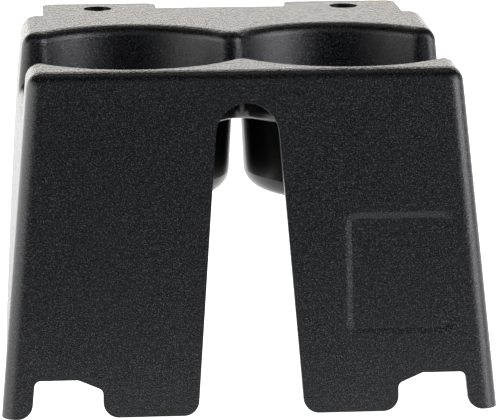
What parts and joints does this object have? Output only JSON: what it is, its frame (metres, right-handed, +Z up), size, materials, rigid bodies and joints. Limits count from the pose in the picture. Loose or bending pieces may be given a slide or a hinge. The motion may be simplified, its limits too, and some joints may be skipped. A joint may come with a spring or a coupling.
{
  "type": "car cup holder",
  "caption": "Black moulded console insert: a deck with joined cup wells open at the sides, a sloping slotted front apron, trimmed side walls and rear screw tabs.",
  "frame": {"origin": "floor level under the middle of the part, at the feet of the apron legs", "axes": "+Z up, +X across the car to the right seen from the front apron, +Y from the apron to the rear screw tabs"},
  "size_m": [0.1946, 0.1884, 0.1316],
  "materials": {
    "cup_holder": "black moulded plastic with a fine pebble grain"
  },
  "bodies": {
    "root": {"cup_holder": "cup_holder"}
  },
  "joints": []
}
